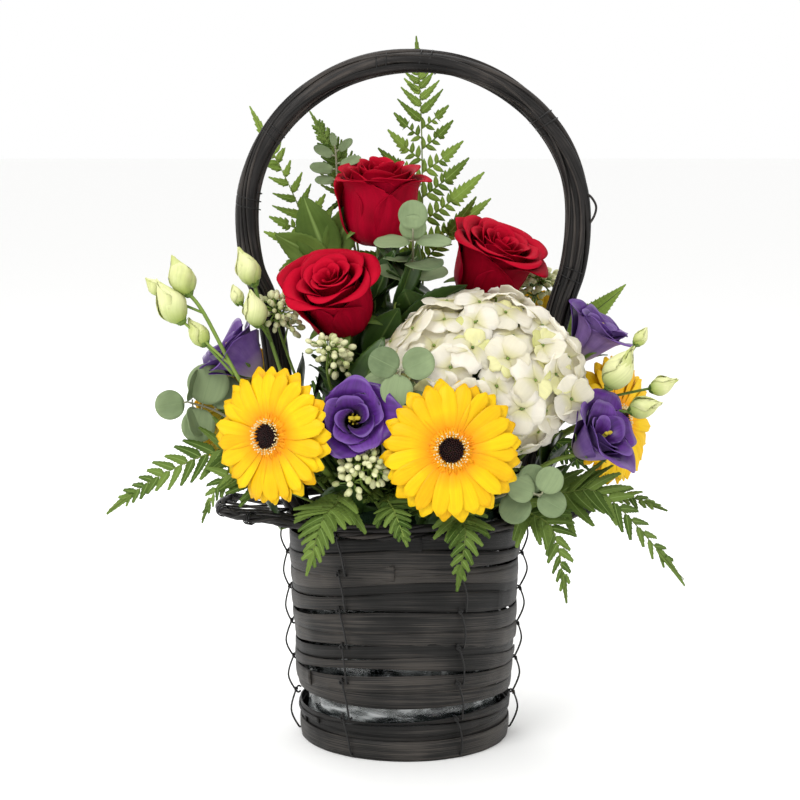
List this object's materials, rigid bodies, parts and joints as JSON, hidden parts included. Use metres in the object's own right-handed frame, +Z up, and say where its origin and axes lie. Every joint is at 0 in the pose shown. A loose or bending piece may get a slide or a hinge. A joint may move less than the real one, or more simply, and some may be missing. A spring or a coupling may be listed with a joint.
{
  "type": "flower basket arrangement",
  "caption": "Cut roses, gerberas, lisianthus, hydrangea and foliage in wet foam inside a round stained chip basket with a tall arched vine handle.",
  "frame": {"origin": "middle of the underside of the basket's base board, on the surface that the basket stands on", "axes": "+Z up; -Y towards the front of the arrangement; +X to the right seen from the front, so the handle's arch lies in the XZ plane"},
  "size_m": [0.3668, 0.2293, 0.4521],
  "materials": {
    "basket_board": "matte",
    "chip_strip": "satin",
    "brim_vine": "satin",
    "handle_vine": "satin",
    "liner_film": "gloss",
    "wet_foam": "matte",
    "tie_wire": "satin",
    "rose_petal": "matte",
    "gerbera_ray": "matte",
    "lisianthus_petal": "matte",
    "hydrangea_floret": "matte",
    "bud_petal": "satin",
    "eucalyptus_leaf": "matte",
    "fern_frond": "satin",
    "filler_bud": "matte",
    "green_foliage": "satin"
  },
  "bodies": {
    "root": {"basket_base": "basket_board", "brim_hoop": "brim_vine", "bud_spray_inner": "bud_petal", "bud_spray_left": "bud_petal", "bud_spray_right": "bud_petal", "eucalyptus_centre": "eucalyptus_leaf", "eucalyptus_front": "eucalyptus_leaf", "eucalyptus_left": "eucalyptus_leaf", "eucalyptus_right": "eucalyptus_leaf", "eucalyptus_top_left": "eucalyptus_leaf", "fern_back_left": "fern_frond", "fern_back_middle": "fern_frond", "fern_back_right": "fern_frond", "fern_front_left": "fern_frond", "fern_front_middle": "fern_frond", "fern_front_right": "fern_frond", "fern_left_long": "fern_frond", "fern_left_low": "fern_frond", "fern_right_long": "fern_frond", "fern_right_near": "fern_frond", "fern_right_side": "fern_frond", "fern_right_upper": "fern_frond", "fern_top": "fern_frond", "fern_top_left": "fern_frond", "fern_upper_left": "fern_frond", "filler_front": "filler_bud", "filler_left": "filler_bud", "filler_outer_left": "filler_bud", "filler_right": "filler_bud", "foam": "wet_foam", "gerbera_back": "gerbera_ray", "gerbera_back_left": "gerbera_ray", "gerbera_front": "gerbera_ray", "gerbera_left": "gerbera_ray", "gerbera_right": "gerbera_ray", "handle_hoop": "handle_vine", "hydrangea": "hydrangea_floret", "liner": "liner_film", "lisianthus_front": "lisianthus_petal", "lisianthus_left": "lisianthus_petal", "lisianthus_right_low": "lisianthus_petal", "lisianthus_right_top": "lisianthus_petal", "rim_hoop": "brim_vine", "rose_leaf": "green_foliage", "rose_left": "rose_petal", "rose_right": "rose_petal", "rose_top": "rose_petal", "tie_wire_1": "tie_wire", "tie_wire_2": "tie_wire", "tie_wire_3": "tie_wire", "tie_wire_4": "tie_wire", "tie_wire_5": "tie_wire", "tie_wire_6": "tie_wire", "wall_band_1": "chip_strip", "wall_band_2": "chip_strip", "wall_band_3": "chip_strip", "wall_band_4": "chip_strip", "wall_band_5": "chip_strip", "wall_band_6": "chip_strip", "wall_band_7": "chip_strip"}
  },
  "joints": []
}
